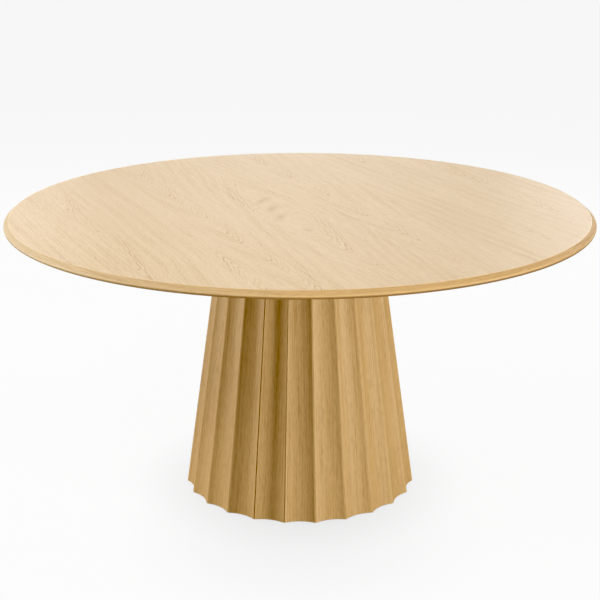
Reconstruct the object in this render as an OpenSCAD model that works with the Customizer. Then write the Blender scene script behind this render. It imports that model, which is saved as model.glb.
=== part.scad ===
// Round pedestal dining table. A thin veneered disc top with a chamfered solid-wood edge stands
// on a tapered pedestal that is coopered from fluted staves round plywood formers and ribs.
// Millimetres, +Z up, origin on the floor under the middle of the table. The flute of the first
// stave faces -Y, and the staves are numbered anticlockwise seen from above.

/* [Table top] */
// Diameter of the top
top_d = 1500; // [1200:10:1600]
// Height of the top surface above the floor
table_h = 743; // [720:1:770]
// Thickness of the whole top
top_t = 18; // [18:1:28]
// Horizontal width of the chamfer round the upper edge
chamfer_w = 12.5; // [6:0.5:16]
// Height of that chamfer
chamfer_h = 10.5; // [4:0.5:11]
// Radius of the round under the edge
under_round = 5; // [1:0.5:6]
// Thickness of each face veneer
veneer_t = 0.6; // [0.5:0.1:1]
// Radial width of the solid edge lipping
lipping_w = 20; // [18:1:30]

/* [Pedestal] */
// Radius over the ridges between the flutes, measured at the floor
ridge_r = 305.5; // [290:0.5:330]
// Lean of the pedestal's side from the vertical, in degrees
side_lean = 8.13; // [6:0.01:9]
// Number of staves, each with one flute
stave_count = 24; // [20:4:28]
// Depth of a flute at the floor
flute_depth = 8.5; // [6:0.5:11]
// Width of the flat ridge between two flutes at the floor
ridge_w = 5; // [3:0.5:8]
// Thickness of a stave through its ridges
stave_t = 22; // [20:0.5:26]
// Clear gap between the staves and the floor
floor_gap = 1; // [0.5:0.5:4]
// Thickness of the plywood formers and ribs
ply_t = 18; // [15:1:21]

/* [Steelwork] */
// Diameter of the plate that spreads the pedestal's load under the top
spreader_d = 700; // [680:10:800]
// Thickness of the spreader plate
spreader_t = 5; // [5:0.5:8]
// Diameter of the weighted plate in the foot
base_plate_d = 532; // [526:2:540]
// Thickness of the weighted plate
base_plate_t = 15; // [12:1:16]
// Distance of each levelling glide from the pedestal's middle
glide_place_r = 235; // [225:1:238]

/* [Hidden] */
glide_count = 4;

$fn = 180;
through = 1;              // how far a cutter runs past the face it opens
fit_gap = 0.1;            // clearance of a joint that is glued or screwed up
thread_gap = 0.05;        // radial clearance of a thread, drawn as a plain cylinder

// Levels, from the floor up
top_under_z = table_h - top_t;
spreader_z = top_under_z - spreader_t;
base_plate_z = 16;
foot_former_z = base_plate_z + base_plate_t;
rib_lower_z = foot_former_z + ply_t;
mid_former_z = 360;
rib_upper_z = mid_former_z + ply_t;
head_former_t = 24;
head_former_z = spreader_z - head_former_t;

// Table top
top_r = top_d / 2;
core_r = top_r - lipping_w;
core_z0 = top_under_z + veneer_t;
core_z1 = table_h - veneer_t;
face_r = top_r - chamfer_w;
back_veneer_r = top_r - under_round - 3;
tongue_w = 8;
tongue_t = 6;

// Pedestal. All its sloping lines meet at one point above the table.
stave_pitch = 360 / stave_count;
half_pitch = stave_pitch / 2;
meet_z = ridge_r / tan(side_lean);
glue_gap = 0.06;
flute_half_w = ridge_r * sin(half_pitch) - ridge_w / 2;
flute_r = (pow(flute_half_w, 2) + pow(flute_depth, 2)) / (2 * flute_depth);
flute_floor_x = ridge_r * cos(half_pitch) - flute_depth;
flute_lean = atan((flute_floor_x + flute_r) / meet_z);
flute_spread = flute_lean - atan(flute_floor_x / meet_z);
mid_hole_r = 60;
rib_gap = 1;

// Bolts, screws and inserts
bolt_r = 4;
bolt_head_r = 6.5;
bolt_head_t = 5;
washer_r = 11;
washer_t = 1.6;
top_bolt_count = 8;
top_bolt_place_r = spreader_d / 2 - 40;
insert_r = 7;
insert_t = 13;
top_bolt_l = washer_t + spreader_t + 12;
head_bolt_count = 6;
head_bolt_place_r = 130;
head_bolt_first = 15;
head_bolt_l = spreader_t + head_former_t + 3;
countersink_r = 8;
countersink_t = 4;
tee_nut_r = 5.5;
tee_nut_l = 16;
tee_flange_r = 11;
tee_flange_t = 1.5;
wood_screw_r = 2.2;
wood_screw_head_r = 4.6;
wood_screw_head_t = 2.6;
wood_screw_l = 50;
plate_screw_count = 8;
plate_screw_place_r = 205;
plate_screw_first = 22.5;
plate_screw_r = 3;
plate_screw_head_r = 6;
plate_screw_head_t = 3.4;
plate_screw_l = base_plate_t + ply_t - 4;

// Levelling glides, each a threaded stud that swivels in a pad
glide_first = 45;
sole_r = 21;
sole_t = 3;
pad_r = 22;
pad_rim_t = 2.5;
pad_neck_r = 8.5;
pad_top_z = 11;
ball_r = 4.5;
ball_gap = 0.1;
ball_z = 8.5;
neck_r = 3;
hex_across_flats = 14;
hex_z0 = 12.8;
hex_z1 = base_plate_z - 0.3;
stud_r = 5;
stud_top_z = foot_former_z + ply_t - 3;
stud_hole_r = 6.5;

// Colours
oak_top = "#e4d0ae";
oak_edge = "#d3b47e";
oak_base = "#cba870";
plywood = "#c9a877";
fibreboard = "#a98d66";
zinc = "#b9bcc0";
black_steel = "#2f3032";
felt = "#4a4743";

function stave_name(i) = str("stave_", i < 10 ? "0" : "", i);
// Distance from the middle to the flat of a stave's ridges, at a height
function ridge_flat_x(z) = ridge_r * cos(half_pitch) * (1 - z / meet_z);
// The same to the inner face of a stave
function inner_flat_x(z) = ridge_flat_x(z) - stave_t;

module around(count, place_r, first = 0) {
    for (k = [0:count - 1])
        rotate([0, 0, first + k * 360 / count])
            translate([place_r, 0, 0])
                children();
}

// A countersunk screw or bolt that points down, with the top of its head at z = 0
module countersunk(shank_r, head_r, head_t, length) {
    rotate_extrude()
        polygon([
            [0, 0],
            [head_r, 0],
            [shank_r, -head_t],
            [shank_r, -length],
            [0, -length]
        ]);
}

// ---- Table top ----

module table_top_core() {
    color(fibreboard)
    difference() {
        translate([0, 0, core_z0])
            cylinder(h = core_z1 - core_z0, r = core_r - fit_gap);
        lipping_groove();
        around(top_bolt_count, top_bolt_place_r)
            translate([0, 0, top_under_z - through])
                cylinder(h = insert_t + 2 * through, r = insert_r + thread_gap);
    }
}

module lipping_groove() {
    groove_t = tongue_t + 2 * fit_gap;
    translate([0, 0, (core_z0 + core_z1 - groove_t) / 2])
        difference() {
            cylinder(h = groove_t, r = core_r + through);
            translate([0, 0, -through])
                cylinder(h = groove_t + 2 * through, r = core_r - tongue_w - fit_gap);
        }
}

module top_face_veneer() {
    chamfer_run = chamfer_w * veneer_t / chamfer_h;
    color(oak_top)
    rotate_extrude()
        polygon([
            [0, core_z1],
            [face_r + chamfer_run, core_z1],
            [face_r, table_h],
            [0, table_h]
        ]);
}

module top_back_veneer() {
    color(oak_edge)
    difference() {
        translate([0, 0, top_under_z])
            cylinder(h = veneer_t, r = back_veneer_r);
        around(top_bolt_count, top_bolt_place_r)
            translate([0, 0, top_under_z - through])
                cylinder(h = veneer_t + 2 * through, r = insert_r + thread_gap);
    }
}

module edge_lipping() {
    color(oak_edge)
    rotate_extrude()
        lipping_section();
}

module lipping_section() {
    chamfer_run = chamfer_w * veneer_t / chamfer_h;
    round_r = top_r - under_round;
    tongue_z = (core_z0 + core_z1 - tongue_t) / 2;
    polygon([
        [core_r, core_z0],
        [back_veneer_r + fit_gap, core_z0],
        [back_veneer_r + fit_gap, top_under_z],
        [round_r, top_under_z],
        [round_r, top_under_z + under_round],
        [top_r, top_under_z + under_round],
        [top_r, table_h - chamfer_h],
        [face_r + chamfer_run, core_z1],
        [core_r, core_z1]
    ]);
    translate([round_r, top_under_z + under_round])
        circle(r = under_round);
    translate([core_r - tongue_w, tongue_z])
        square([tongue_w + through, tongue_t]);
}

module top_inserts() {
    color(zinc)
    around(top_bolt_count, top_bolt_place_r)
        translate([0, 0, top_under_z])
            difference() {
                cylinder(h = insert_t, r = insert_r);
                translate([0, 0, -through])
                    cylinder(h = insert_t + 2 * through, r = bolt_r + thread_gap);
            }
}

// ---- Steelwork under the top ----

module spreader_plate() {
    color(black_steel)
    difference() {
        translate([0, 0, spreader_z])
            cylinder(h = spreader_t, r = spreader_d / 2);
        around(top_bolt_count, top_bolt_place_r)
            translate([0, 0, spreader_z - through])
                cylinder(h = spreader_t + 2 * through, r = bolt_r + 0.5);
        around(head_bolt_count, head_bolt_place_r, head_bolt_first)
            translate([0, 0, top_under_z]) {
                countersunk(bolt_r + fit_gap, countersink_r + fit_gap, countersink_t, spreader_t + through);
                cylinder(h = through, r = countersink_r + fit_gap);
            }
    }
}

module top_bolts() {
    bolt_z = spreader_z - washer_t;
    color(black_steel)
    around(top_bolt_count, top_bolt_place_r) {
        translate([0, 0, bolt_z])
            cylinder(h = top_bolt_l, r = bolt_r);
        translate([0, 0, bolt_z - bolt_head_t])
            cylinder(h = bolt_head_t, r = bolt_head_r);
    }
}

module top_washers() {
    color(zinc)
    around(top_bolt_count, top_bolt_place_r)
        translate([0, 0, spreader_z - washer_t])
            difference() {
                cylinder(h = washer_t, r = washer_r);
                translate([0, 0, -through])
                    cylinder(h = washer_t + 2 * through, r = bolt_r + 0.2);
            }
}

module head_bolts() {
    color(zinc)
    around(head_bolt_count, head_bolt_place_r, head_bolt_first)
        translate([0, 0, top_under_z])
            countersunk(bolt_r, countersink_r, countersink_t, head_bolt_l);
}

module head_tee_nuts() {
    color(zinc)
    around(head_bolt_count, head_bolt_place_r, head_bolt_first)
        difference() {
            union() {
                translate([0, 0, head_former_z])
                    cylinder(h = tee_nut_l, r = tee_nut_r);
                translate([0, 0, head_former_z - tee_flange_t])
                    cylinder(h = tee_flange_t, r = tee_flange_r);
            }
            translate([0, 0, head_former_z - tee_flange_t - through])
                cylinder(h = tee_nut_l + tee_flange_t + 2 * through, r = bolt_r + thread_gap);
        }
}

// ---- Pedestal frame ----

// A many-sided disc that fits inside the staves, from z0 up
module former_blank(z0, thickness) {
    corner_r = (inner_flat_x(z0 + thickness) - fit_gap) / cos(half_pitch);
    translate([0, 0, z0])
        linear_extrude(height = thickness)
            polygon([
                for (k = [0:stave_count - 1])
                    let (angle = -90 + half_pitch + k * stave_pitch)
                        corner_r * [cos(angle), sin(angle)]
            ]);
}

module head_former() {
    color(plywood)
    difference() {
        former_blank(head_former_z, head_former_t);
        around(head_bolt_count, head_bolt_place_r, head_bolt_first) {
            translate([0, 0, head_former_z - through])
                cylinder(h = tee_nut_l + through + fit_gap, r = tee_nut_r + thread_gap);
            translate([0, 0, head_former_z])
                cylinder(h = head_former_t + through, r = bolt_r + fit_gap);
        }
        former_screw_holes();
    }
}

module mid_former() {
    color(plywood)
    difference() {
        former_blank(mid_former_z, ply_t);
        translate([0, 0, mid_former_z - through])
            cylinder(h = ply_t + 2 * through, r = mid_hole_r);
        former_screw_holes();
    }
}

module foot_former() {
    color(plywood)
    difference() {
        former_blank(foot_former_z, ply_t);
        around(glide_count, glide_place_r, glide_first)
            translate([0, 0, foot_former_z - through])
                cylinder(h = ply_t + 2 * through, r = stud_hole_r);
        plate_screws(fit_gap);
        former_screw_holes();
    }
}

// One rib of a crossed pair. Its notch is in the upper or the lower half of its height.
module rib(z0, z1, turn, notch_up) {
    notch_z = (z0 + z1) / 2;
    low_x = inner_flat_x(z0) - rib_gap;
    high_x = inner_flat_x(z1) - rib_gap;
    color(plywood)
    difference() {
        rotate([90, 0, turn])
            linear_extrude(height = ply_t, center = true)
                polygon([[-low_x, z0], [low_x, z0], [high_x, z1], [-high_x, z1]]);
        translate([0, 0, notch_up ? notch_z : z0 - through])
            linear_extrude(height = (z1 - z0) / 2 + through + fit_gap / 2)
                square(ply_t + 2 * fit_gap, center = true);
        former_screw_holes();
    }
}

module rib_lower_a() {
    rib(rib_lower_z, mid_former_z, 0, true);
}

module rib_lower_b() {
    rib(rib_lower_z, mid_former_z, 90, false);
}

module rib_upper_a() {
    rib(rib_upper_z, head_former_z, 0, true);
}

module rib_upper_b() {
    rib(rib_upper_z, head_former_z, 90, false);
}

// The screws that hold the ribs' four arms to the formers, grown by a gap for their holes
module rib_screws(gap) {
    // up through the foot former, down through the middle one, up through it, down through the head
    rib_screw_row(foot_former_z, 180, 110, gap);
    rib_screw_row(rib_upper_z, 0, 110, gap);
    rib_screw_row(mid_former_z, 180, 150, gap);
    rib_screw_row(spreader_z, 0, 110, gap);
}

module rib_screw_row(z, tip, place_r, gap) {
    around(4, place_r)
        translate([0, 0, z])
            rotate([tip, 0, 0])
                countersunk(wood_screw_r + gap, wood_screw_head_r + gap, wood_screw_head_t, wood_screw_l + gap);
}

module former_screw_holes() {
    rib_screws(thread_gap);
}

module former_screws() {
    color(zinc)
        rib_screws(0);
}

// ---- Foot ----

module plate_screws(gap) {
    around(plate_screw_count, plate_screw_place_r, plate_screw_first)
        translate([0, 0, base_plate_z])
            rotate([180, 0, 0])
                countersunk(plate_screw_r + gap, plate_screw_head_r + gap, plate_screw_head_t, plate_screw_l + gap);
}

module base_plate() {
    color(black_steel)
    difference() {
        translate([0, 0, base_plate_z])
            cylinder(h = base_plate_t, r = base_plate_d / 2);
        plate_screws(fit_gap);
        around(glide_count, glide_place_r, glide_first)
            translate([0, 0, base_plate_z - through])
                cylinder(h = base_plate_t + 2 * through, r = stud_r + thread_gap);
    }
}

module base_plate_screws() {
    color(zinc)
        plate_screws(0);
}

// ---- Fluted staves ----

// A stave is a board between two upright mitre planes, with sloping inner and outer faces
module stave_blank() {
    z0 = floor_gap;
    z1 = spreader_z - fit_gap;
    reach = ridge_r + 10;
    tip_x = glue_gap / 2 / sin(half_pitch);
    tip_y = (reach - tip_x) * tan(half_pitch);
    intersection() {
        rotate([90, 0, 0])
            linear_extrude(height = ridge_r, center = true)
                polygon([
                    [inner_flat_x(z0), z0],
                    [ridge_flat_x(z0), z0],
                    [ridge_flat_x(z1), z1],
                    [inner_flat_x(z1), z1]
                ]);
        linear_extrude(height = table_h)
            polygon([[tip_x, 0], [reach, -tip_y], [reach, tip_y]]);
    }
}

// The flute is a cone that leans with the stave and narrows towards the same meeting point
module flute_cutter() {
    start = (meet_z - table_h) / cos(flute_lean);
    length = (table_h + 60) / cos(flute_lean);
    translate([0, 0, meet_z])
        rotate([0, 180 - flute_lean, 0])
            translate([0, 0, start])
                cylinder(h = length, r1 = start * tan(flute_spread), r2 = (start + length) * tan(flute_spread));
}

module stave(i) {
    color(oak_base)
    rotate([0, 0, -90 + (i - 1) * stave_pitch])
        difference() {
            stave_blank();
            flute_cutter();
        }
}

// ---- Levelling glides ----

module at_glide(i) {
    rotate([0, 0, glide_first + (i - 1) * 360 / glide_count])
        translate([glide_place_r, 0, 0])
            children();
}

module glide_stud(i) {
    color(zinc)
    at_glide(i) {
        translate([0, 0, ball_z])
            sphere(r = ball_r);
        translate([0, 0, ball_z])
            cylinder(h = hex_z0 - ball_z + through, r = neck_r);
        translate([0, 0, hex_z0])
            cylinder(h = hex_z1 - hex_z0, r = hex_across_flats / 2 / cos(30), $fn = 6);
        translate([0, 0, hex_z1])
            cylinder(h = stud_top_z - 1 - hex_z1, r = stud_r);
        translate([0, 0, stud_top_z - 1])
            cylinder(h = 1, r1 = stud_r, r2 = stud_r - 1);
    }
}

module glide_pad(i) {
    color(zinc)
    at_glide(i)
        difference() {
            rotate_extrude()
                polygon([
                    [0, sole_t],
                    [pad_r, sole_t],
                    [pad_r, sole_t + pad_rim_t],
                    [pad_neck_r, pad_top_z],
                    [0, pad_top_z]
                ]);
            translate([0, 0, ball_z])
                sphere(r = ball_r + ball_gap);
        }
}

module glide_sole(i) {
    color(felt)
    at_glide(i)
        cylinder(h = sole_t, r = sole_r);
}

table_top_core();
top_face_veneer();
top_back_veneer();
edge_lipping();
top_inserts();
spreader_plate();
top_bolts();
top_washers();
head_bolts();
head_tee_nuts();
head_former();
mid_former();
foot_former();
rib_lower_a();
rib_lower_b();
rib_upper_a();
rib_upper_b();
former_screws();
base_plate();
base_plate_screws();
for (i = [1:stave_count])
    stave(i);
for (i = [1:glide_count]) {
    glide_stud(i);
    glide_pad(i);
    glide_sole(i);
}
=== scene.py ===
"""Looks of the round pedestal table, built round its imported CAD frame. Metres, +Z up, camera on -Y."""

import math

import bmesh
import bpy
import numpy as np
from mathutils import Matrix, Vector


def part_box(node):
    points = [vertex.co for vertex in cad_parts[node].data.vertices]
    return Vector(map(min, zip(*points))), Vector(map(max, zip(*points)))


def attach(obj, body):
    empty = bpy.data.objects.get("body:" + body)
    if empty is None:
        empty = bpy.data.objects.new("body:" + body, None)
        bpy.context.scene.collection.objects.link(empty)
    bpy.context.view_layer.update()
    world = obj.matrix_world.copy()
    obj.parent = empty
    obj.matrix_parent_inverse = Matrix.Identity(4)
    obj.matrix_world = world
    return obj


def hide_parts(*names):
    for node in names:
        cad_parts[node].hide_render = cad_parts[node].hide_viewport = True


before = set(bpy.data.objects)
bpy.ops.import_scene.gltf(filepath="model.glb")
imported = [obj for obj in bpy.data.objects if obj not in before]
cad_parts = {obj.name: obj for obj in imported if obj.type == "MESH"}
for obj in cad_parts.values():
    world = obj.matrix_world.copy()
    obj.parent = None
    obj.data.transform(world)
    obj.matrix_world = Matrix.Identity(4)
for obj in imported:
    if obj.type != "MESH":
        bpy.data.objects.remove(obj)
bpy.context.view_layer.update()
MM = 0.001
TABLE = "table"                      # the body that everything but the glides belongs to
SEED = 7

# ---- Camera ----

CAMERA_PLACE = (0.0, -3.608, 1.5965)
CAMERA_PITCH = 16.954                # degrees below the horizon
CAMERA_LENS, SENSOR = 86.26, 36.0    # millimetres


def make_camera():
    data = bpy.data.cameras.new("camera")
    data.lens = CAMERA_LENS
    data.sensor_width = SENSOR
    camera = bpy.data.objects.new("camera", data)
    camera.location = CAMERA_PLACE
    camera.rotation_euler = (math.radians(90 - CAMERA_PITCH), 0, 0)
    bpy.context.scene.collection.objects.link(camera)
    bpy.context.scene.camera = camera


# ---- Sizes, read from the frame ----

STAVES = sorted(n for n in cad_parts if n.startswith("stave_"))
PITCH = 2 * math.pi / len(STAVES)
TOP_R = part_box("edge_lipping")[1].x
TOP_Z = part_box("top_face_veneer")[1].z
VENEER_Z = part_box("top_face_veneer")[0].z
UNDER_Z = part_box("edge_lipping")[0].z
BACK_VENEER_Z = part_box("top_back_veneer")[1].z
BACK_VENEER_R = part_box("top_back_veneer")[1].x
CORE_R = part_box("table_top_core")[1].x


def node_points(node):
    """The corners of a CAD node, as an array."""
    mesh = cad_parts[node].data
    points = np.zeros(len(mesh.vertices) * 3)
    mesh.vertices.foreach_get("co", points)
    return points.reshape(-1, 3)


def level(points, z, column, pick):
    """The lowest or highest value of a column among the points at height z."""
    slack = 0.1 * MM
    return pick(points[np.abs(points[:, 2] - z) < slack][:, column])


VENEER_POINTS = node_points("top_face_veneer")
FACE_R = level(VENEER_POINTS, TOP_Z, 0, np.max)              # where the chamfer starts
CHAMFER_SLOPE = (level(VENEER_POINTS, VENEER_Z, 0, np.max) - FACE_R) / (TOP_Z - VENEER_Z)
CHAMFER_Z = TOP_Z - (TOP_R - FACE_R) / CHAMFER_SLOPE         # where it ends, above the upright band
UNDER_ROUND = 5 * MM
ARRIS_EASE = 1.6 * MM
WEAR_AND_HIGHLIGHT_EASE = 3 * MM                   # edges eased by less than this show some wear and a painted highlight

STAVE_POINTS = node_points("stave_01")
STAVE_Z0, STAVE_Z1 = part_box("stave_01")[0].z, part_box("stave_01")[1].z
RIDGE_LOW = -level(STAVE_POINTS, STAVE_Z0, 1, np.min)        # middle to the flats of the ridges
RIDGE_HIGH = -level(STAVE_POINTS, STAVE_Z1, 1, np.min)
STAVE_LEAN = (RIDGE_LOW - RIDGE_HIGH) / (STAVE_Z1 - STAVE_Z0)
RIDGE_FLOOR = RIDGE_LOW + STAVE_LEAN * STAVE_Z0              # the same, at the floor
MEET_Z = RIDGE_FLOOR / STAVE_LEAN                            # where all the sloping lines meet
STAVE_T = RIDGE_LOW + level(STAVE_POINTS, STAVE_Z0, 1, np.max)
RIDGE_W = 5 * MM
FLUTE_DEPTH = 8.5 * MM


# ---- Mesh tools ----

SHARP_ANGLE = 32                     # degrees between two faces, above which their edge stays sharp


def link(name, mesh):
    piece = bpy.data.objects.new(name, mesh)
    bpy.context.scene.collection.objects.link(piece)
    return piece


def smooth(mesh):
    """Smooth shading, with sharp edges kept sharp."""
    work = bmesh.new()
    work.from_mesh(mesh)
    bmesh.ops.recalc_face_normals(work, faces=work.faces)
    limit = math.radians(SHARP_ANGLE)
    for face in work.faces:
        face.smooth = True
    for edge in work.edges:
        edge.smooth = len(edge.link_faces) == 2 and edge.calc_face_angle() < limit
    work.to_mesh(mesh)
    work.free()


def mesh_of(name, points, faces, values=None):
    """A mesh from points and faces, with each named value kept as an attribute of its points."""
    mesh = bpy.data.meshes.new(name)
    mesh.from_pydata(points.tolist(), [], faces.tolist() if hasattr(faces, "tolist") else faces)
    for key, value in (values or {}).items():
        kind, field = ("FLOAT_VECTOR", "vector") if value.ndim == 2 else ("FLOAT", "value")
        attribute = mesh.attributes.new(key, kind, "POINT")
        attribute.data.foreach_set(field, value.astype(np.float32).ravel())
    smooth(mesh)
    return mesh


def grid_faces(index, flip=False):
    """Four-sided faces over a two-way array of point numbers."""
    corners = [index[:-1, :-1], index[1:, :-1], index[1:, 1:], index[:-1, 1:]]
    faces = np.stack(corners, -1).reshape(-1, 4)
    return faces[:, ::-1] if flip else faces


def block(points, values):
    """The closed skin of a three-way array of points: its points, its faces and the points' values."""
    number = np.arange(points[..., 0].size).reshape(points.shape[:3])
    faces = np.concatenate([
        grid_faces(number[:, 0, :]), grid_faces(number[:, -1, :], True),
        grid_faces(number[0], True), grid_faces(number[-1]),
        grid_faces(number[:, :, 0], True), grid_faces(number[:, :, -1]),
    ])
    used, inverse = np.unique(faces, return_inverse=True)
    flat = points.reshape(-1, 3)[used]
    kept = {k: v.reshape(-1, *v.shape[3:])[used] for k, v in values.items()}
    return flat, inverse.reshape(faces.shape), kept


def lathe(rows, steps, closed):
    """Points and faces of a turned shape. Each row is a radius, or a function of the angle, and a
    height. A closed shape's last row joins its first; an open one is capped at both ends."""
    angle = np.linspace(0, 2 * math.pi, steps, endpoint=False)
    rings = []
    for radius, z in rows:
        r = radius(angle) if callable(radius) else np.full(steps, radius)
        rings.append(np.stack([r * np.cos(angle), r * np.sin(angle), np.full(steps, z)], -1))
    points = np.concatenate(rings)
    number = np.arange(len(points)).reshape(len(rows), steps)
    if closed:
        number = np.concatenate([number, number[:1]])
    faces = grid_faces(np.concatenate([number, number[:, :1]], 1)).tolist()
    if not closed:
        faces += [number[0, ::-1].tolist(), number[-1].tolist()]
    return points, faces


def copies(points, faces, places):
    """The same shape at several places, as one set of points and faces."""
    many, all_faces = [], []
    for k, (place, turn) in enumerate(places):
        c, s = math.cos(turn), math.sin(turn)
        many.append(points @ np.array([[c, s, 0], [-s, c, 0], [0, 0, 1]]) + np.array(place))
        all_faces += [[i + k * len(points) for i in face] for face in faces]
    return np.concatenate(many), all_faces


def around(count, place_r, first):
    """Places on a circle, with the turn that faces outwards."""
    turns = [math.radians(first) + 2 * math.pi * k / count for k in range(count)]
    return [((place_r * math.cos(t), place_r * math.sin(t), 0), t) for t in turns]


def finish_piece(piece, material, body, slot, *nodes):
    piece.data.materials.append(material)
    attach(piece, body)
    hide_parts(*nodes)
    return piece


# ---- How oak grows ----

class Ripples:
    """A gentle random wave over two directions, the same each run."""

    def __init__(self, random, long_wave, wide_wave, count=10):
        self.turn = random.uniform(0, 2 * math.pi, count)
        self.along = random.normal(0, 1, count) / long_wave
        self.across = random.normal(0, 1, count) / wide_wave
        self.size = 1 / math.sqrt(count)

    def __call__(self, across, along):
        total = np.zeros(np.broadcast(across, along).shape)
        for turn, a, c in zip(self.turn, self.along, self.across):
            total += np.sin(2 * math.pi * (a * along + c * across) + turn)
        return total * self.size


# ---- Materials ----

class Nodes:
    """Short calls for a material's nodes."""

    def __init__(self, name):
        self.material = bpy.data.materials.new(name)
        self.material.use_nodes = True
        self.tree = self.material.node_tree
        self.shader = self.tree.nodes["Principled BSDF"]

    def new(self, kind, **settings):
        node = self.tree.nodes.new("ShaderNode" + kind)
        for key, value in settings.items():
            setattr(node, key, value)
        return node

    def join(self, source, socket):
        if isinstance(source, (int, float, tuple)):
            socket.default_value = source
        else:
            self.tree.links.new(source, socket)

    def math(self, operation, *values, clamp=False):
        node = self.new("Math", operation=operation, use_clamp=clamp)
        for value, socket in zip(values, node.inputs):
            self.join(value, socket)
        return node.outputs[0]

    def attribute(self, name, output):
        return self.new("Attribute", attribute_name=name).outputs[output]

    def place(self):
        return self.new("TexCoord").outputs["Object"]

    def stretch(self, vector, scale, offset=(0, 0, 0)):
        node = self.new("Mapping")
        self.join(vector, node.inputs["Vector"])
        node.inputs["Scale"].default_value = scale
        node.inputs["Location"].default_value = offset
        return node.outputs[0]

    def noise(self, vector, scale=1.0, detail=2.0, roughness=0.5, distortion=0.0):
        node = self.new("TexNoise")
        self.join(vector, node.inputs["Vector"])
        node.inputs["Scale"].default_value = scale
        node.inputs["Detail"].default_value = detail
        node.inputs["Roughness"].default_value = roughness
        node.inputs["Distortion"].default_value = distortion
        return node.outputs[0]

    def ramp(self, value, stops):
        node = self.new("ValToRGB")
        self.join(value, node.inputs[0])
        points = node.color_ramp.elements
        while len(points) < len(stops):
            points.new(0.5)
        for point, (position, colour) in zip(points, stops):
            point.position = position
            shade = colour if isinstance(colour, tuple) else (colour, colour, colour)
            point.color = (*shade, 1)
        return node.outputs[0]

    def range(self, value, low, high, to_low=0.0, to_high=1.0):
        node = self.new("MapRange")
        for source, socket in zip((value, low, high, to_low, to_high), node.inputs):
            self.join(source, socket)
        return node.outputs[0]

    def mix(self, share, a, b, blend="MIX"):
        node = self.new("Mix", data_type="RGBA", blend_type=blend)
        self.join(share, node.inputs[0])
        for source, socket in zip((a, b), (node.inputs[6], node.inputs[7])):
            self.join((*source, 1) if isinstance(source, tuple) and len(source) == 3 else source, socket)
        return node.outputs[2]

    def bump(self, height, strength, distance):
        node = self.new("Bump")
        self.join(height, node.inputs["Height"])
        node.inputs["Strength"].default_value = strength
        node.inputs["Distance"].default_value = distance
        self.tree.links.new(node.outputs[0], self.shader.inputs["Normal"])

    def set(self, **values):
        for key, value in values.items():
            self.join(value, self.shader.inputs[key.replace("_", " ")])


PALE_TOP, DARK_TOP = (0.82, 0.63, 0.405), (0.555, 0.335, 0.115)
PALE_STAVE, DARK_STAVE = (0.72, 0.495, 0.242), (0.46, 0.272, 0.118)
# painted light: the paler, greyer colours of the lipping's left side
PALE_PAINTED_LIGHT, DARK_PAINTED_LIGHT = (0.64, 0.51, 0.34), (0.50, 0.35, 0.17)
# painted shade: the near-black that the lipping's band turns towards on its right side
DEEP_PAINTED_SHADE_COLOUR = (0.16, 0.12, 0.05)

# Waves to the metre across, through and along the fibres, of each thing that varies in oak
WANDER_WAVES, PATCH_WAVES, TONE_WAVES = (70, 70, 6), (14, 14, 1.6), (16, 16, 1.3)
STREAK_WAVES, FLECK_WAVES = (380, 380, 4), (500, 500, 50)
FIBRE_WAVES, PORE_WAVES = (1100, 1100, 22), (1500, 1500, 90)

RING_STOPS = [(0.0, 0.0), (0.05, 1.0), (0.22, 0.8), (0.36, 0.15), (1.0, 0.0)]    # darkness through a ring
RING_WANDER = 0.7                    # rings by which a line strays
SLOW_YEARS, QUICK_YEARS = 0.9, 2.4   # radians a year, of the two rhythms that make some rings faint
FAINT_SLOW, FAINT_QUICK = 0.25, 0.5  # how strong each rhythm's faintest rings are
FAINT_PATCH = 0.25                   # how strong a ring is where it fades along its length
PORE_SHADE, WEAR_AND_HIGHLIGHT_LIFT = 0.18, 0.3    # how much pores darken the wood, and how much wear and a painted highlight lighten the arrises
MARK_AND_PAINTED_SHADE_THIN, MARK_AND_PAINTED_SHADE_FULL = 0.28, 0.42    # how much a dark mark in the veneer, or painted shade on the lipping, darkens it
OAK_RELIEF = 0.2 * MM


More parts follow.
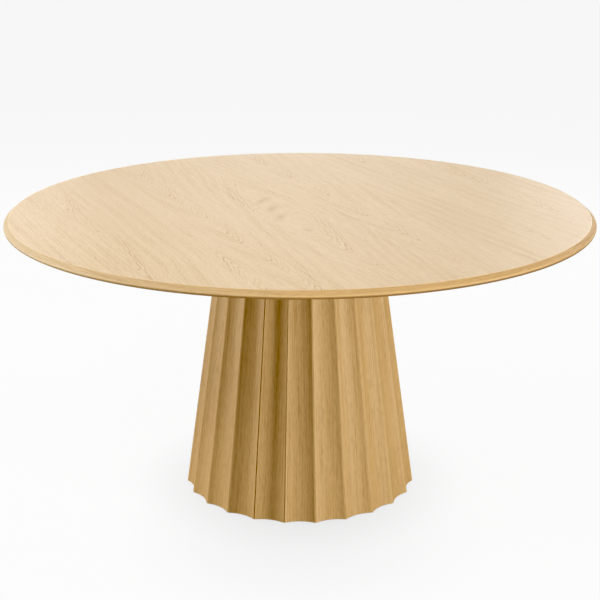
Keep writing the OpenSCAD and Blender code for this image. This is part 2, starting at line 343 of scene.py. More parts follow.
def oak(name, pale, dark, ring_contrast, tone_contrast, streak_contrast, roughness):
    """Lacquered oak. Its points carry rings, the count of growth rings; grain, a place measured across,
    through and along the fibres; and how far they are marked or darkened by painted shade, lightened at the
    arrises by wear and a painted highlight, paled and greyed by painted light, or pulled towards near-black
    by painted shade."""
    n = Nodes(name)
    grain = n.attribute("grain", "Vector")

    def vary(waves, **settings):
        return n.noise(n.stretch(grain, waves), **settings)

    def rhythm(speed, faintest):
        return n.range(n.math("SINE", n.math("MULTIPLY", year, speed)), -1, 1, faintest, 1.0)

    # growth rings: each starts with a dark porous line that fades, and no two are alike
    wander = vary(WANDER_WAVES, detail=3)
    count = n.math("ADD", n.attribute("rings", "Fac"), n.math("MULTIPLY", wander, RING_WANDER))
    line = n.ramp(n.math("FRACT", count), RING_STOPS)
    year = n.math("FLOOR", count)
    strong = n.math("MULTIPLY", rhythm(SLOW_YEARS, FAINT_SLOW), rhythm(QUICK_YEARS, FAINT_QUICK))
    patch = n.range(vary(PATCH_WAVES, detail=2), 0.35, 0.62, FAINT_PATCH, 1.0)
    ring_line = n.math("MULTIPLY", n.math("MULTIPLY", line, strong), patch)

    # fibres, pores and slow changes of tone
    fibre = vary(FIBRE_WAVES, detail=3, roughness=0.6)
    streak = vary(STREAK_WAVES, detail=3, roughness=0.6)
    fleck = vary(FLECK_WAVES, detail=2)
    tone = vary(TONE_WAVES, detail=2)
    pore = n.range(vary(PORE_WAVES, detail=1), 0.62, 0.74)
    pores = n.math("MULTIPLY", pore, n.range(line, 0.1, 0.9, 0.15, 1.0))

    # how dark each point is, between the two colours
    amount = n.math("MULTIPLY", ring_line, ring_contrast)
    for part, low, high, share in (
        (fibre, 0.35, 0.65, 0.12), (streak, 0.3, 0.7, 0.30 * tone_contrast),
        (tone, 0.3, 0.7, 0.40 * tone_contrast), (streak, 0.53, 0.66, streak_contrast),
        (fleck, 0.45, 0.65, 0.85 * streak_contrast),
    ):
        amount = n.math("ADD", amount, n.range(part, low, high, 0.0, share))
    amount = n.math("ADD", amount, n.math("MULTIPLY", pores, PORE_SHADE))
    # darkening: dark flecks in the veneer, and painted shade on the lipping's band and right side
    mark_and_painted_shade = n.math("MULTIPLY", n.attribute("marks_and_painted_shade", "Fac"), n.range(wander, 0.3, 0.7, MARK_AND_PAINTED_SHADE_THIN, MARK_AND_PAINTED_SHADE_FULL))
    amount = n.math("ADD", amount, mark_and_painted_shade)
    # wear and a painted highlight lighten the arrises
    wear_and_highlight = n.math("MULTIPLY", n.attribute("arris", "Fac"), WEAR_AND_HIGHLIGHT_LIFT)
    amount = n.math("SUBTRACT", amount, wear_and_highlight, clamp=True)
    colour = n.mix(amount, pale, dark)
    # painted light: the lipping's left side is pulled towards paler, greyer colours
    colour = n.mix(n.attribute("painted_light_left", "Fac"), colour, n.mix(amount, PALE_PAINTED_LIGHT, DARK_PAINTED_LIGHT))
    # painted shade: the lipping's band is pulled towards near-black on its right side
    colour = n.mix(n.attribute("deep_painted_shade", "Fac"), colour, DEEP_PAINTED_SHADE_COLOUR)
    n.set(Base_Color=colour)

    rough = n.range(n.math("ADD", pores, fibre), 0.2, 1.4, roughness - 0.05, roughness + 0.14)
    n.set(Roughness=rough)
    hollow = n.math("ADD", pores, n.math("MULTIPLY", line, 0.25))
    n.bump(n.math("SUBTRACT", n.math("MULTIPLY", fibre, 0.3), hollow), 0.25, OAK_RELIEF)
    return n.material


BACK_RINGS, BACK_WANDER = 90, 14     # of the underside: rings to the metre, and rings by which one strays


def plain_oak(name, pale, dark):
    """Oak veneer for the underside, with its grain along Y, on a piece that carries no values."""
    n = Nodes(name)
    place = n.place()
    wander = n.noise(n.stretch(place, (5, 0.8, 1)), detail=3)
    parts = n.new("SeparateXYZ")
    n.join(place, parts.inputs[0])
    even, stray = n.math("MULTIPLY", parts.outputs[0], BACK_RINGS), n.math("MULTIPLY", wander, BACK_WANDER)
    count = n.math("ADD", even, stray)
    line = n.ramp(n.math("FRACT", count), [(0.0, 0.2), (0.12, 1.0), (0.4, 0.4), (1.0, 0.0)])
    streak = n.noise(n.stretch(place, (260, 3.5, 260)), detail=3)
    fibre = n.noise(n.stretch(place, (1100, 22, 1100)), detail=2)
    amount = n.math("ADD", n.math("MULTIPLY", line, 0.3), n.math("MULTIPLY", streak, 0.4), clamp=True)
    n.set(Base_Color=n.mix(amount, pale, dark))
    n.set(Roughness=n.range(fibre, 0.3, 0.7, 0.45, 0.6))
    n.bump(fibre, 0.2, OAK_RELIEF)
    return n.material


PLY_T = 1.5 * MM                     # of one ply


def plywood(name, axis):
    """Birch plywood with its plies stacked along an axis: stripes on its edges, plain grain on its faces."""
    n = Nodes(name)
    place = n.place()
    parts = n.new("SeparateXYZ")
    n.join(place, parts.inputs[0])
    plies = n.math("MULTIPLY", parts.outputs["XYZ".index(axis)], 1 / PLY_T)
    ply = n.math("FRACT", n.math("ADD", plies, 0.5))
    stripe = n.ramp(ply, [(0.0, 0.9), (0.06, 0.25), (0.5, 0.1), (0.52, 0.6), (0.95, 0.45), (1.0, 0.9)])
    streak = n.noise(n.stretch(place, (40, 40, 40)), detail=4, distortion=0.6)
    amount = n.math("ADD", n.math("MULTIPLY", stripe, 0.5), n.math("MULTIPLY", streak, 0.5), clamp=True)
    n.set(Base_Color=n.mix(amount, (0.66, 0.48, 0.27), (0.36, 0.21, 0.09)))
    n.set(Roughness=n.range(streak, 0.3, 0.7, 0.65, 0.8))
    n.bump(streak, 0.2, 0.3 * MM)
    return n.material


def fibreboard(name):
    n = Nodes(name)
    place = n.place()
    speck = n.noise(place, scale=900, detail=3, roughness=0.7)
    patch = n.noise(place, scale=14, detail=2)
    amount = n.math("ADD", n.math("MULTIPLY", speck, 0.7), n.math("MULTIPLY", patch, 0.3))
    n.set(Base_Color=n.mix(amount, (0.47, 0.33, 0.18), (0.28, 0.18, 0.085)))
    n.set(Roughness=n.range(speck, 0.3, 0.7, 0.75, 0.9))
    n.bump(speck, 0.3, 0.2 * MM)
    return n.material


def powder_coat(name):
    n = Nodes(name)
    place = n.place()
    peel = n.noise(place, scale=1400, detail=2)
    dust = n.noise(place, scale=30, detail=4, roughness=0.7)
    n.set(Base_Color=n.mix(dust, (0.020, 0.020, 0.021), (0.036, 0.036, 0.038)))
    n.set(Roughness=n.range(dust, 0.3, 0.7, 0.42, 0.6))
    n.bump(peel, 0.35, 0.12 * MM)
    return n.material


def zinc(name):
    n = Nodes(name)
    place = n.place()
    smear = n.noise(n.stretch(place, (300, 300, 900)), detail=3)
    patch = n.noise(place, scale=120, detail=2)
    n.set(Base_Color=n.mix(patch, (0.62, 0.63, 0.64), (0.47, 0.48, 0.49)))
    n.set(Metallic=1.0, Roughness=n.range(smear, 0.3, 0.7, 0.24, 0.42))
    n.bump(smear, 0.15, 0.1 * MM)
    return n.material


def felt(name):
    n = Nodes(name)
    place = n.place()
    hair = n.noise(place, scale=1800, detail=4, roughness=0.8, distortion=1.5)
    clump = n.noise(place, scale=240, detail=2)
    n.set(Base_Color=n.mix(n.math("MULTIPLY", hair, clump), (0.035, 0.032, 0.030), (0.16, 0.15, 0.14)))
    n.set(Roughness=n.range(clump, 0.3, 0.7, 0.85, 0.98))
    n.bump(hair, 0.8, 0.6 * MM)
    return n.material


# ---- Pieces: the pedestal's staves ----

STAVE_EASE, STAVE_END_EASE = 0.9 * MM, 0.6 * MM
STAVE_LAYERS, STAVE_ROWS, FLUTE_STEPS = 5, 74, 27
RING_W = 2.6 * MM                    # of the solid oak
FLAT_SAWN = (3, 7, 11, 16, 20)       # the staves that show arches
STAVE_YEARS = 100                    # keeps the ring counts of two staves apart
OPEN_SEAMS = {-1.5: 1.8 * MM, -0.5: 1.2 * MM}    # joints that show, in staves from the front one
CLOSED_SEAM = 0.4 * MM


def stave_outline(gap_left, gap_right):
    """The outer edge of a stave's section at the floor, with its ridges, flute and eased arrises: places
    across, places outwards, and how much of an arris each point is."""
    half = PITCH / 2
    ridge = RIDGE_W / 2
    corner_x = RIDGE_FLOOR * math.tan(half)
    flute_half = corner_x - ridge
    flute_r = (flute_half ** 2 + FLUTE_DEPTH ** 2) / (2 * FLUTE_DEPTH)
    span = math.asin(flute_half / flute_r)
    ease = STAVE_EASE
    turn = span - ease / flute_r
    arc = np.linspace(-turn, turn, FLUTE_STEPS)
    across = list(flute_r * np.sin(arc))
    out = list(RIDGE_FLOOR - FLUTE_DEPTH + flute_r * (1 - np.cos(arc)))
    wear_and_highlight = [1.0] + [0.0] * (len(arc) - 2) + [1.0]
    for side, gap in ((-1, gap_left), (1, gap_right)):
        joint = corner_x - gap / 2
        # the arris between the flute and the flat, the flat, and the eased edge at the joint
        steps = [
            (flute_half - 0.35 * ease, -0.10 * ease, 1), (flute_half + 0.25 * ease, 0.0, 1),
            (joint - 0.45 * ease, 0.0, 0.5), (joint - 0.12 * ease, -0.12 * ease, 1),
            (joint, -0.5 * ease, 1),
        ]
        xs = [side * x for x, _, _ in steps]
        ys = [RIDGE_FLOOR + y for _, y, _ in steps]
        ws = [w for _, _, w in steps]
        if side < 0:
            across, out, wear_and_highlight = xs[::-1] + across, ys[::-1] + out, ws[::-1] + wear_and_highlight
        else:
            across, out, wear_and_highlight = across + xs, out + ys, wear_and_highlight + ws
    return np.array(across), np.array(out), np.array(wear_and_highlight)


def make_stave(number, material, random, gap_left, gap_right):
    """One stave, as a block of points across, through and along it."""
    across, out, wear_and_highlight = stave_outline(gap_left, gap_right)
    layers = np.linspace(0, 1, STAVE_LAYERS)
    length = np.linspace(STAVE_Z0, STAVE_Z1, STAVE_ROWS)
    ends = STAVE_END_EASE
    length = np.concatenate([[STAVE_Z0], [STAVE_Z0 + ends], length[1:-1], [STAVE_Z1 - ends], [STAVE_Z1]])
    inset = np.zeros(len(length))
    inset[[0, -1]] = ends
    share = 1 - length / MEET_Z
    outer_x = across[:, None] * share
    outer_y = out[:, None] * share - inset
    inner_y = RIDGE_FLOOR * share - STAVE_T
    inner_x = outer_x * (inner_y / (RIDGE_FLOOR * share))
    x = inner_x[:, None, :] + (outer_x - inner_x)[:, None, :] * layers[None, :, None]
    y = inner_y[None, None, :] + (outer_y - inner_y)[:, None, :] * layers[None, :, None]
    z = np.broadcast_to(length, x.shape)
    rings, grain = stave_grain(x, y - RIDGE_FLOOR * share, z, number, random)
    turn = -math.pi / 2 + number * PITCH
    place = np.stack([
        y * math.cos(turn) - x * math.sin(turn),
        y * math.sin(turn) + x * math.cos(turn),
        z,
    ], -1)
    arris = np.broadcast_to(wear_and_highlight[:, None, None] * (layers[None, :, None] > 0.99), x.shape)
    points, faces, values = block(place, {"rings": rings, "grain": grain, "arris": arris})
    name = STAVES[number]
    piece = link(name + "_oak", mesh_of(name + "_oak", points, faces, values))
    return finish_piece(piece, material, TABLE, "oak_stave", name)


def stave_grain(x, y, z, number, random):
    """Where each point of a stave was in its log."""
    flat = number in FLAT_SAWN
    if flat:
        heart_x = random.uniform(-12, 12) * MM
    else:
        heart_x = random.choice([-1, 1]) * random.uniform(45, 90) * MM
    heart_y = -random.uniform(30, 80) * MM
    nearest = random.uniform(-0.6, 0.2) if random.random() < 0.5 else random.uniform(0.5, 1.3)
    drift = random.uniform(0.05, 0.09) * (z - nearest) if flat else 0
    ripples = Ripples(random, 0.5, 0.09)
    slow = Ripples(random, 1.3, 0.2)
    distance = np.sqrt((x - heart_x) ** 2 + (y - heart_y) ** 2 + drift ** 2)
    rings = (distance + ripples(x, z) * 1.0 * MM + slow(x, z) * 2.5 * MM) / RING_W
    offset = random.uniform(-3, 3, 3)
    grain = np.stack([x + offset[0], y + offset[1], z + offset[2]], -1)
    return rings + STAVE_YEARS * number, grain


def make_pedestal(material):
    random = np.random.default_rng(SEED)
    count = len(STAVES)
    gaps = [CLOSED_SEAM] * count
    for place, gap in OPEN_SEAMS.items():
        gaps[round(place + 0.5) % count] = gap
    for number in range(count):
        make_stave(number, material, random, gaps[number], gaps[(number + 1) % count])


# ---- Pieces: the top ----

GRAIN_TURN = math.radians(-67)       # direction of the top's grain, from +X
RING_WIDE, RING_CLOSE = 11 * MM, 5 * MM      # in the veneer, near the middle of a figure and away from it
MIDDLE_W = 24 * MM                   # half the width of that middle
TIP_R = 5 * MM                       # how sharply rings turn at their tips
LENS_SIDE_W = 40 * MM                # how far wide rings go on beside a lens-shaped heart
LENS_REACH = 0.5                     # metres along the grain over which its sides keep closing
LENS_TAPER = 0.8                     # how fast they close, in 1 / m
LENS_START = -1.7                    # the ring count in its middle, where the years are faint ones
LEAF_YEARS = 61                      # keeps the ring counts of two leaves apart
LEAF_STEP, LEAF_ROWS, LEAF_EASE = 4 * MM, 201, 0.35 * MM
RIM_SHARE = 0.02                     # of its radius, over which a leaf widens to follow the chamfer

# Leaves of veneer, from left to right across the grain, in mm: where each ends, how its rings lie, where
# they are centred across and along the grain, and how far apart their tips are or how wide the lens is
LEAVES = (
    (-685, "straight", -1100, 0, 0), (-495, "tips", -548, -300, 75), (-305, "mouth", -345, 320, 36),
    (-125, "tips", -262, 0, 34), (75, "lens", -57, 6, 50), (265, "tips", 124, -240, 34),
    (455, "tips", 420, 70, 70), (645, "tips", 596, 280, 60), (740, "straight", 1200, 0, 0),
)
CROSS_MARKS = ((2, -131), (-6, -33), (-17, 64), (-13, 223))     # in a lens, across and along, in mm
MARK_LONG, MARK_WIDE = 32 * MM, 11 * MM
MARK_TURN, MARK_SHADE = math.radians(-33), 1.25


def across_rings(side):
    """The rings crossed on the way out from the middle of a figure: a few wide ones, then close ones."""
    soft = 9 * MM
    beyond = np.logaddexp(0, (side - MIDDLE_W) / soft) * soft
    return side / RING_WIDE + beyond * (1 / RING_CLOSE - 1 / RING_WIDE)


def leaf_rings(figure, x, y, size):
    """The count of rings at places across and along from the middle of a leaf's figure."""
    side = np.sqrt(x ** 2 + TIP_R ** 2)
    if figure == "straight":
        return side / RING_CLOSE
    if figure == "tips":
        return across_rings(side) + y / size
    if figure == "mouth":
        start = 20 * MM
        return across_rings(side) - np.logaddexp(0, y / start) * start / size
    inside = side + LENS_TAPER * y ** 2 / (1 + (y / LENS_REACH) ** 2) - size
    soft = 4 * MM
    out = np.logaddexp(0, inside / soft) * soft
    return LENS_START + out / RING_WIDE + across_rings(np.maximum(out - LENS_SIDE_W, 0))


def leaf_marks(figure, x, y, size):
    """Dark flecks across the middle of a lens. Other figures have none."""
    marks_and_painted_shade = np.zeros(x.shape)
    if figure == "lens":
        c, s = math.cos(MARK_TURN), math.sin(MARK_TURN)
        for mark_x, mark_y in CROSS_MARKS:
            dx, dy = x - mark_x * MM, y - mark_y * MM
            along, wide = dy * c + dx * s, dx * c - dy * s
            marks_and_painted_shade += np.exp(-(along / MARK_LONG) ** 2 - (wide / MARK_WIDE) ** 2)
        marks_and_painted_shade *= MARK_SHADE * (np.abs(x) + LENS_TAPER * y ** 2 < size)
    return marks_and_painted_shade


def leaf_grain(number, across, along, random):
    """The count of rings and the dark flecks at points of a leaf, across and along from the middle."""
    _, figure, middle, place, size = LEAVES[number]
    ripples = Ripples(random, 0.32, 0.09)
    slow = Ripples(random, 0.9, 0.2)
    fine = Ripples(random, 0.05, 0.04, 14)
    sway = slow(across * 0, along) * 6 * MM
    here = (figure, across - middle * MM + sway, along - place * MM, size * MM)
    rings = leaf_rings(*here) + ripples(across, along) * 0.22 + fine(across, along) * 0.20
    return rings + LEAF_YEARS * number, leaf_marks(*here)


def make_leaf(number, low, high, random):
    """One leaf of veneer, cut to the round top, as a block of points across, through and along it."""
    reach = FACE_R - 0.02 * MM
    ease = LEAF_EASE
    first, last = (math.asin(max(-1, min(1, edge / FACE_R))) for edge in (low, high))
    columns = np.linspace(first, last, max(8, int((last - first) * FACE_R / LEAF_STEP)))
    across = np.clip(FACE_R * np.sin(columns), -reach, reach)
    rows = np.linspace(-1, 1, LEAF_ROWS)
    heights = np.array([VENEER_Z, TOP_Z - ease, TOP_Z])
    rim = FACE_R + np.array([CHAMFER_SLOPE * (TOP_Z - VENEER_Z), CHAMFER_SLOPE * ease, -0.5 * ease])
    scale = rim / FACE_R
    half = np.sqrt(np.maximum(FACE_R ** 2 - across ** 2, 0))
    a = np.broadcast_to(across[:, None, None], (len(across), 3, len(rows)))
    l = half[:, None, None] * rows[None, None, :] * np.ones((1, 3, 1))
    # only the rim follows the chamfer: the leaf's straight edges stay where its neighbour starts
    radius = np.hypot(a, l)
    near = np.clip((radius / FACE_R - 1) / RIM_SHARE + 1, 0, 1)
    grow = 1 + (scale[None, :, None] - 1) * near
    straight = (number > 0) * (a == a[0]) + (high < FACE_R) * (a == a[-1])
    l = l * grow
    a = np.where(straight > 0, a, a * grow)
    c, s = math.cos(GRAIN_TURN), math.sin(GRAIN_TURN)
    z = np.broadcast_to(heights[None, :, None], a.shape)
    place = np.stack([l * c - a * s, l * s + a * c, z], -1)
    rings, marks_and_painted_shade = leaf_grain(number, a, l, random)
    offset = random.uniform(-3, 3, 3)
    grain = np.stack([a + offset[0], z + offset[1], l + offset[2]], -1)
    arris = np.broadcast_to((near > 0.999) * 1.0, a.shape)
    return block(place, {"rings": rings, "marks_and_painted_shade": marks_and_painted_shade, "grain": grain, "arris": arris})


def make_face_veneer(material):
    random = np.random.default_rng(SEED + 1)
    points, faces, values, start = [], [], [], 0
    low = -FACE_R
    for number, leaf in enumerate(LEAVES):
        high = min(leaf[0] * MM, FACE_R)
        p, f, v = make_leaf(number, low, high, random)
        points.append(p)
        faces.append(f + start)
        values.append(v)
        start += len(p)
        low = high
    merged = {key: np.concatenate([v[key] for v in values]) for key in values[0]}
    mesh = mesh_of("top_face_veneer_leaves", np.concatenate(points), np.concatenate(faces), merged)
    piece = link("top_face_veneer_leaves", mesh)
    return finish_piece(piece, material, TABLE, "oak_veneer", "top_face_veneer")


def eased(corners, steps):
    """A closed outline with rounded corners. Each corner is a place and how far it is cut back."""
    out = []
    count = len(corners)
    for k, (x, z, soft) in enumerate(corners):
        if not soft:
            out.append((x, z, 0.0))
            continue
        here = np.array([x, z])
        back = np.array(corners[k - 1][:2]) - here
        on = np.array(corners[(k + 1) % count][:2]) - here
        start = here + back / np.linalg.norm(back) * soft
        end = here + on / np.linalg.norm(on) * soft
        for t in np.linspace(0, 1, steps + 1):
            p = (1 - t) ** 2 * start + 2 * t * (1 - t) * here + t ** 2 * end
            out.append((p[0], p[1], 1.0 if soft < WEAR_AND_HIGHLIGHT_EASE else 0.0))
    return out


def subdivided(outline, longest):
    """The same closed outline with no stretch longer than given."""
    out = []
    for k, (x, z, w) in enumerate(outline):
        nx, nz, _ = outline[(k + 1) % len(outline)]
        count = max(1, math.ceil(math.hypot(nx - x, nz - z) / longest))
        for i in range(count):
            t = i / count
            out.append((x + (nx - x) * t, z + (nz - z) * t, w if i == 0 else 0.0))
    return out


BAND_PAINTED_SHADE = 2.2                     # painted shade: how much darker the lipping is below its chamfer
LEFT_PAINTED_LIGHT, LEFT_BAND_PAINTED_LIGHT = 0.9, 0.6             # painted light: how strongly its left side is paled and greyed, which lightens the band too
RIGHT_PAINTED_SHADE, RIGHT_BAND_PAINTED_SHADE = 0.8, 0.42       # painted shade: how much darker its right side is, and its band above all
LIPPING_STEPS, LIPPING_STRIP = 720, 3.5 * MM
LIPPING_GAP = 0.1 * MM               # round the core and the back veneer
LIPPING_RING_W = 1.7 * MM
RING_IN, RING_UP = 0.55, 0.85        # how its rings slope
RINGS_ROUND = 26                     # rings that its ends are out of step by


def make_lipping(material):
    """The solid edge, bent round the core, with a chamfer above and a small round below."""
    random = np.random.default_rng(SEED + 2)
    steps = LIPPING_STEPS
    run = CHAMFER_SLOPE * (TOP_Z - VENEER_Z)
    core_r, back_r = CORE_R + LIPPING_GAP, BACK_VENEER_R + LIPPING_GAP
    corners = [
        (core_r, BACK_VENEER_Z, 0), (back_r, BACK_VENEER_Z, 0), (back_r, UNDER_Z, 0.2 * MM),
        (TOP_R, UNDER_Z, UNDER_ROUND), (TOP_R, CHAMFER_Z, ARRIS_EASE), (FACE_R + run, VENEER_Z, 0),
        (core_r, VENEER_Z, 0),
    ]
    outline = subdivided(eased(corners, 6), LIPPING_STRIP)
    points, faces = lathe([(r, z) for r, z, _ in outline], steps, closed=True)
    angle = np.tile(np.linspace(0, 2 * math.pi, steps, endpoint=False), len(outline))
    wear_and_highlight = np.repeat([w for _, _, w in outline], steps)
    r = np.hypot(points[:, 0], points[:, 1])
    z = points[:, 2]
    # the ring count drifts a whole number of rings round the table, so that it closes on itself
    drift = RINGS_ROUND * angle / (2 * math.pi)
    along = r * angle
    wave = sum(np.sin(k * angle + random.uniform(0, 6)) / k for k in range(2, 9))
    rings = (RING_IN * (r - TOP_R) + RING_UP * (z - UNDER_Z)) / LIPPING_RING_W + drift + 0.5 * wave
    grain = np.stack([r, z, along], -1)
    # painted light and shade: the band below the chamfer is painted darker, less so on the left; the left
    # side is painted paler and greyer; the right side is painted darker, its band above all
    painted_light_left, painted_shade_right = np.clip(-points[:, 0] / r, 0, 1), np.clip(points[:, 0] / r, 0, 1)
    band = z < CHAMFER_Z - ARRIS_EASE
    values = {
        "rings": rings, "grain": grain, "arris": wear_and_highlight, "painted_light_left": LEFT_PAINTED_LIGHT * painted_light_left,
        "marks_and_painted_shade": BAND_PAINTED_SHADE * band * (1 - LEFT_BAND_PAINTED_LIGHT * painted_light_left) + RIGHT_PAINTED_SHADE * painted_shade_right,
        "deep_painted_shade": RIGHT_BAND_PAINTED_SHADE * band * np.minimum(1, 2 * painted_shade_right),
    }
    piece = link("edge_lipping_oak", mesh_of("edge_lipping_oak", points, faces, values))
    return finish_piece(piece, material, TABLE, "oak_edge", "edge_lipping")


# ---- Pieces: bolts, screws, washers and glides ----

ROUND_STEPS = 48
BOLTS, BOLT_R, BOLT_HEAD_R, BOLT_HEAD_T = 8, 4 * MM, 6.5 * MM, 5 * MM
WASHER_R, WASHER_HOLE_R = 11 * MM, 4.2 * MM
PLATE_SCREWS = 8
PLATE_SCREW_R, PLATE_SCREW_HEAD_R, PLATE_SCREW_HEAD_T = 3 * MM, 6 * MM, 3.4 * MM
BOLT_KEY, SCREW_KEY = 2.5 * MM, 2 * MM       # half the widths of the hexagon keys
THREAD_PITCH, BOLT_PITCH = 1.5 * MM, 1.25 * MM
THREAD_DEPTH = 0.6                   # as a share of the pitch


def hexagon(half_flats, corner_r=1.0):
    """The radius of a hexagon at an angle, with its corners cut back to a circle."""
    def radius(angle):
        side = math.pi / 3
        return np.minimum(half_flats / np.cos((angle + side / 2) % side - side / 2), corner_r)
    return radius


def thread(low, high, crest_r, pitch, rows_per_turn=8):
    """Rows of a helical thread between two heights, which runs out at both ends."""
    depth = THREAD_DEPTH * pitch

    def row(z):
        shallow = min(1.0, (z - low) / pitch, (high - z) / pitch)

        def radius(angle):
            # a V whose crest and root are cut flat
            turn = (z / pitch - angle / (2 * math.pi)) % 1
            crest = np.clip(2.6 * np.minimum(turn, 1 - turn) - 0.15, 0, 1)
            return crest_r - depth * (1 - crest) * shallow
        return radius, z
    return [row(z) for z in np.linspace(low, high, round((high - low) / pitch * rows_per_turn) + 1)]


def turned_piece(name, rows, places, material, body, slot, node, closed=False):
    """One turned shape at each of its places, as one piece."""
    points, faces = lathe(rows, ROUND_STEPS, closed)
    points, faces = copies(points, faces, places)
    piece = link(name, mesh_of(name, points, faces))
    return finish_piece(piece, material, body, slot, node)


def make_top_bolts(black, plated):
    """Button-head socket bolts, and the washers under their heads."""
    low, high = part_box("top_bolts")
    face, under, tip = low.z, low.z + BOLT_HEAD_T, high.z
    places = around(BOLTS, high.x - BOLT_HEAD_R, 0)
    rows = [
        (hexagon(BOLT_KEY), face + 2.6 * MM), (hexagon(BOLT_KEY), face + 0.15 * MM),
        (2.95 * MM, face), (3.9 * MM, face), (4.9 * MM, face + 0.45 * MM), (5.7 * MM, face + 1.2 * MM),
        (6.25 * MM, face + 2.3 * MM), (BOLT_HEAD_R, face + 3.6 * MM), (BOLT_HEAD_R, under - 0.3 * MM),
        (BOLT_HEAD_R - 0.3 * MM, under), (BOLT_R, under), (BOLT_R, under + 6 * MM),
    ]
    rows += thread(under + 6.2 * MM, tip - 0.9 * MM, BOLT_R, BOLT_PITCH)
    rows.append((BOLT_R - 0.9 * MM, tip))
    turned_piece("top_bolts_socket_head", rows, places, black, TABLE, "black_steel", "top_bolts")
    low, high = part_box("top_washers")
    ease = 0.25 * MM
    rows = [
        (WASHER_HOLE_R, low.z + ease), (WASHER_HOLE_R + ease, low.z), (WASHER_R - ease, low.z),
        (WASHER_R, low.z + ease), (WASHER_R, high.z - ease), (WASHER_R - ease, high.z),
        (WASHER_HOLE_R + ease, high.z), (WASHER_HOLE_R, high.z - ease),
    ]
    turned_piece("top_washers_eased", rows, places, plated, TABLE, "zinc_steel", "top_washers", closed=True)


def make_plate_screws(plated):
    """Countersunk socket screws up through the base plate."""
    low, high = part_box("base_plate_screws")
    face, tip = low.z, high.z
    neck = face + PLATE_SCREW_HEAD_T
    first = 180 / PLATE_SCREWS
    place_r = (high.x - PLATE_SCREW_HEAD_R) / math.cos(math.radians(first))
    rows = [
        (hexagon(SCREW_KEY), face + 2.2 * MM), (hexagon(SCREW_KEY), face + 0.1 * MM), (2.4 * MM, face),
        (PLATE_SCREW_HEAD_R - 0.25 * MM, face), (PLATE_SCREW_HEAD_R - 0.1 * MM, face + 0.12 * MM),
        (PLATE_SCREW_R, neck), (PLATE_SCREW_R, neck + 10 * MM),
    ]
    rows += thread(neck + 10.2 * MM, tip - 1.8 * MM, PLATE_SCREW_R, THREAD_PITCH)
    rows.append((0.6 * MM, tip))
    places = around(PLATE_SCREWS, place_r, first)
    turned_piece("base_plate_screws_socket", rows, places, plated, TABLE, "zinc_steel", "base_plate_screws")


def ball_rows(r, z, low_angle, high_angle, count=9):
    """Rows up a ball, between two angles above its equator."""
    angles = np.radians(np.linspace(low_angle, high_angle, count))
    return [(r * math.cos(a), z + r * math.sin(a)) for a in angles]


BALL_R, SOCKET_R = 4.5 * MM, 4.6 * MM
BALL_UP = 8.5 * MM                   # the ball's middle, above the foot of the sole
BALL_LOW, BALL_HIGH = -80, 45        # degrees above its equator where the ball starts and ends
STUD_R, STUD_NECK_R = 5 * MM, 3 * MM
HEX_HALF, HEX_CORNER, HEX_FACE = 7 * MM, 8.08 * MM, 6.9 * MM     # to its flats, corners and end faces
HEX_UP, HEX_T, HEX_EASE = 12.8 * MM, 2.9 * MM, 0.6 * MM
PAD_NECK_R, PAD_RIM_T, PAD_EASE = 8.5 * MM, 2.5 * MM, 0.5 * MM
FELT_FRAY = 0.12 * MM


def stud_rows(sole_z, tip_z):
    """A glide's stud, from the ball that sits in the pad, past its hexagon, to its threaded tip."""
    ball_z = sole_z + BALL_UP
    hex_low, hex_high = sole_z + HEX_UP, sole_z + HEX_UP + HEX_T
    rows = ball_rows(BALL_R, ball_z, BALL_LOW, BALL_HIGH)
    rows += [
        (STUD_NECK_R, ball_z + 3.5 * MM), (STUD_NECK_R, hex_low),
        (hexagon(HEX_HALF, HEX_FACE), hex_low), (hexagon(HEX_HALF, HEX_CORNER), hex_low + HEX_EASE),
        (hexagon(HEX_HALF, HEX_CORNER), hex_high - HEX_EASE), (hexagon(HEX_HALF, HEX_FACE), hex_high),
        (STUD_R, hex_high),
    ]
    rows += thread(hex_high + 0.2 * MM, tip_z - 1 * MM, STUD_R, THREAD_PITCH)
    rows.append((STUD_R - 1 * MM, tip_z))
    return rows


def pad_rows(low, high, pad_r, sole_r, ball_z):
    """A glide's pad, from its socket for the ball, over the neck and the rim, to its flat underside."""
    rim_z = low + PAD_RIM_T
    mouth = math.asin((high - 0.3 * MM - ball_z) / SOCKET_R)
    rows = ball_rows(SOCKET_R, ball_z, BALL_LOW, math.degrees(mouth), 12)
    rows += [
        (SOCKET_R * math.cos(mouth) + 0.3 * MM, high), (PAD_NECK_R - 0.6 * MM, high),
        (PAD_NECK_R - 0.1 * MM, high - 0.3 * MM), (PAD_NECK_R + 1.2 * MM, high - 0.9 * MM),
        (pad_r - 1.6 * MM, rim_z + 0.35 * MM), (pad_r - 0.5 * MM, rim_z - 0.2 * MM),
        (pad_r, rim_z - 0.8 * MM), (pad_r, low + PAD_EASE), (pad_r - PAD_EASE, low), (sole_r * 0.5, low),
    ]
    return rows


def sole_rows(low, high, sole_r, k):
    """A glide's felt sole, a little frayed at its edge."""
    def frayed(r):
        return lambda angle: r - FELT_FRAY * (1 + np.sin(7 * angle + k) * np.sin(11 * angle))
    return [
        (sole_r * 0.5, low), (frayed(sole_r - 0.9 * MM), low), (frayed(sole_r - 0.25 * MM), low + 0.3 * MM),
        (frayed(sole_r), low + 0.9 * MM), (frayed(sole_r), high - 0.7 * MM),
        (frayed(sole_r - 0.3 * MM), high), (sole_r * 0.5, high),
    ]


